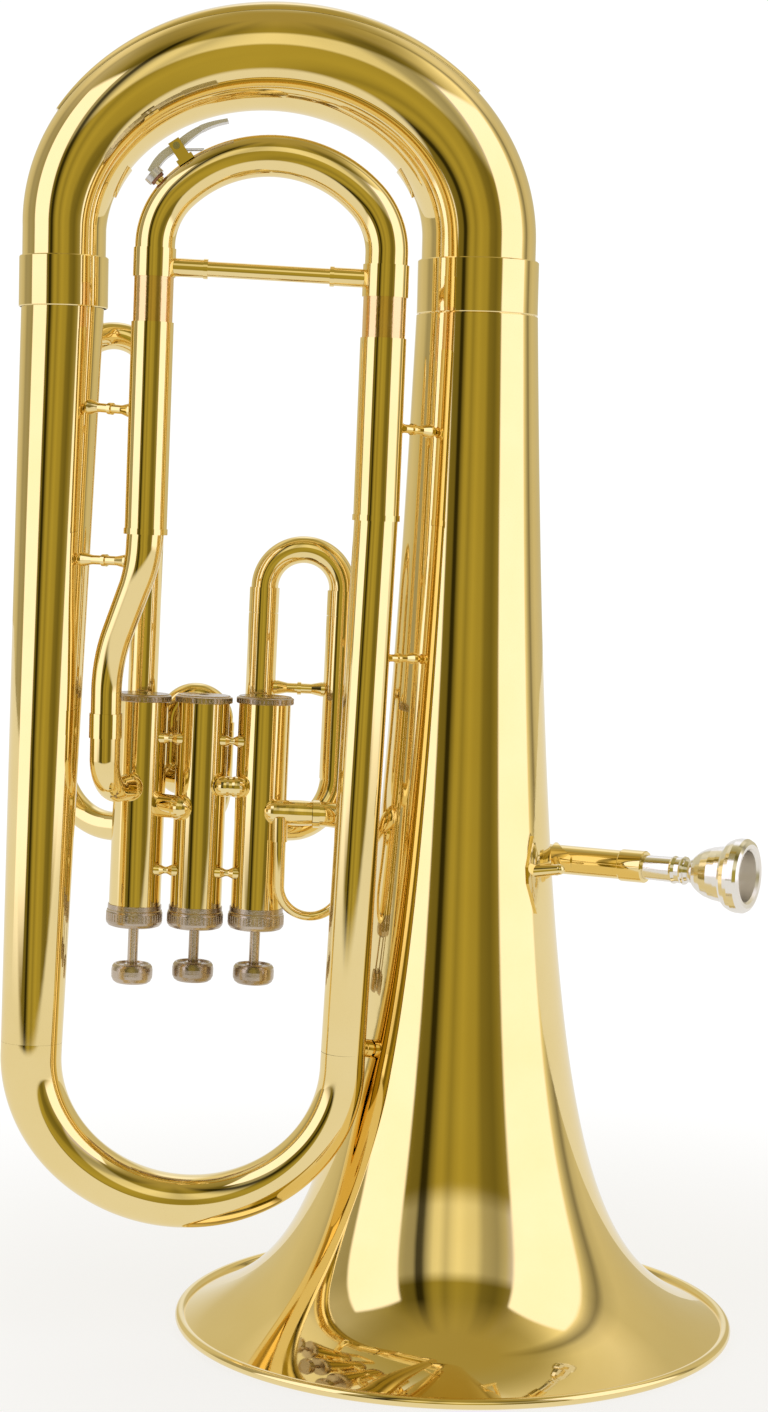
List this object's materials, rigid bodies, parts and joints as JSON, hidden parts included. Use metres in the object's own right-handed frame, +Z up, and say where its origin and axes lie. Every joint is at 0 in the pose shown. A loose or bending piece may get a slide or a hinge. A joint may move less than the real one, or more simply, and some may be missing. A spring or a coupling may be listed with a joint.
{
  "type": "euphonium",
  "caption": "Piston-valve brass instrument with a wide conical bore, upright valves, pull-out slides and a flared bell that it stands on.",
  "frame": {"origin": "centre of the bell's mouth, in the plane that the rim rests on", "axes": "+Z up the bell's axis, +X towards the mouthpiece, +Y away from the side with the tuning slide"},
  "size_m": [0.3748, 0.28, 0.6532],
  "materials": {
    "lacquered_brass": "polished, clear lacquer",
    "rose_brass": "bare, satin from handling",
    "nickel_silver": "worn polish with a dull patina",
    "silver_plate": "polished silver plate",
    "spring_steel": "drawn wire",
    "cork": "pressed cork",
    "felt": "pressed felt"
  },
  "bodies": {
    "euphonium": {"bell": "lacquered_brass", "bell_rim_wire": "spring_steel", "bell_ferrule": "lacquered_brass", "big_bow": "lacquered_brass", "bow_guard": "lacquered_brass", "bow_ferrule": "lacquered_brass", "left_branch": "lacquered_brass", "lower_bow": "lacquered_brass", "right_branch": "lacquered_brass", "collars": "lacquered_brass", "tuning_sleeves": "lacquered_brass", "crook": "lacquered_brass", "valve_casing_1": "lacquered_brass", "valve_casing_2": "lacquered_brass", "valve_casing_3": "lacquered_brass", "valve_knuckles": "lacquered_brass", "casing_posts": "lacquered_brass", "top_caps": "nickel_silver", "bottom_caps": "nickel_silver", "slide_1_sleeves": "lacquered_brass", "slide_2_sleeves": "lacquered_brass", "slide_3_sleeves": "lacquered_brass", "slide_brace": "lacquered_brass", "leadpipe": "lacquered_brass", "receiver": "lacquered_brass", "leadpipe_brace": "lacquered_brass", "thumb_ring": "lacquered_brass", "tube_braces": "lacquered_brass", "piston_spring_1": "spring_steel", "piston_spring_2": "spring_steel", "piston_spring_3": "spring_steel"},
    "tuning_slide": {"tuning_bow": "lacquered_brass", "tuning_legs": "rose_brass", "tuning_ferrules": "lacquered_brass", "tuning_brace": "lacquered_brass", "water_key_saddle": "lacquered_brass", "water_key_pin": "spring_steel", "water_key_spring": "spring_steel"},
    "water_key": {"water_key_lever": "silver_plate", "water_key_cork": "cork"},
    "valve_1": {"piston_1": "nickel_silver", "piston_stem_1": "nickel_silver", "finger_button_1": "nickel_silver", "piston_felt_1": "felt"},
    "slide_1": {"slide_1_bow": "lacquered_brass", "slide_1_ferrules": "lacquered_brass"},
    "valve_2": {"piston_2": "nickel_silver", "piston_stem_2": "nickel_silver", "finger_button_2": "nickel_silver", "piston_felt_2": "felt"},
    "slide_2": {"slide_2_bow": "lacquered_brass", "slide_2_ferrules": "lacquered_brass"},
    "valve_3": {"piston_3": "nickel_silver", "piston_stem_3": "nickel_silver", "finger_button_3": "nickel_silver", "piston_felt_3": "felt"},
    "slide_3": {"slide_3_bow": "lacquered_brass", "slide_3_ferrules": "lacquered_brass"},
    "mouthpiece": {"mouthpiece": "silver_plate"}
  },
  "joints": [
    {"name": "valve_1_press", "type": "slide", "parent": "euphonium", "child": "valve_1", "axis": [0.0244, 0, 0.9997], "range_m": [0, 0.015], "stiffness_N_per_m": 150, "springref_m": -0.015, "deforming": ["piston_spring_1"]},
    {"name": "valve_2_press", "type": "slide", "parent": "euphonium", "child": "valve_2", "axis": [0.0244, 0, 0.9997], "range_m": [0, 0.015], "stiffness_N_per_m": 150, "springref_m": -0.015, "deforming": ["piston_spring_2"]},
    {"name": "valve_3_press", "type": "slide", "parent": "euphonium", "child": "valve_3", "axis": [0.0244, 0, 0.9997], "range_m": [0, 0.015], "stiffness_N_per_m": 150, "springref_m": -0.015, "deforming": ["piston_spring_3"]},
    {"name": "tuning_pull", "type": "slide", "parent": "euphonium", "child": "tuning_slide", "axis": [0.0183, -0.0122, 0.9998], "range_m": [-0.018, 0.05]},
    {"name": "water_key_open", "type": "hinge", "parent": "tuning_slide", "child": "water_key", "pos_m": [-0.14534, -0.04847, 0.57723], "axis": [0.0002, 0.9999, 0.0122], "range_deg": [0, 14], "stiffness_Nm_per_rad": 0.15, "springref_deg": -11.46},
    {"name": "slide_1_pull", "type": "slide", "parent": "euphonium", "child": "slide_1", "axis": [0.0244, 0, 0.9997], "range_m": [0, 0.05]},
    {"name": "slide_2_pull", "type": "slide", "parent": "euphonium", "child": "slide_2", "axis": [0.0244, 0, 0.9997], "range_m": [0, 0.01]},
    {"name": "slide_3_pull", "type": "slide", "parent": "euphonium", "child": "slide_3", "axis": [0.0244, 0, 0.9997], "range_m": [0, 0.06]},
    {"name": "mouthpiece_out", "type": "slide", "parent": "euphonium", "child": "mouthpiece", "axis": [0.8746, -0.4848, 0], "range_m": [0, 0.06]}
  ]
}
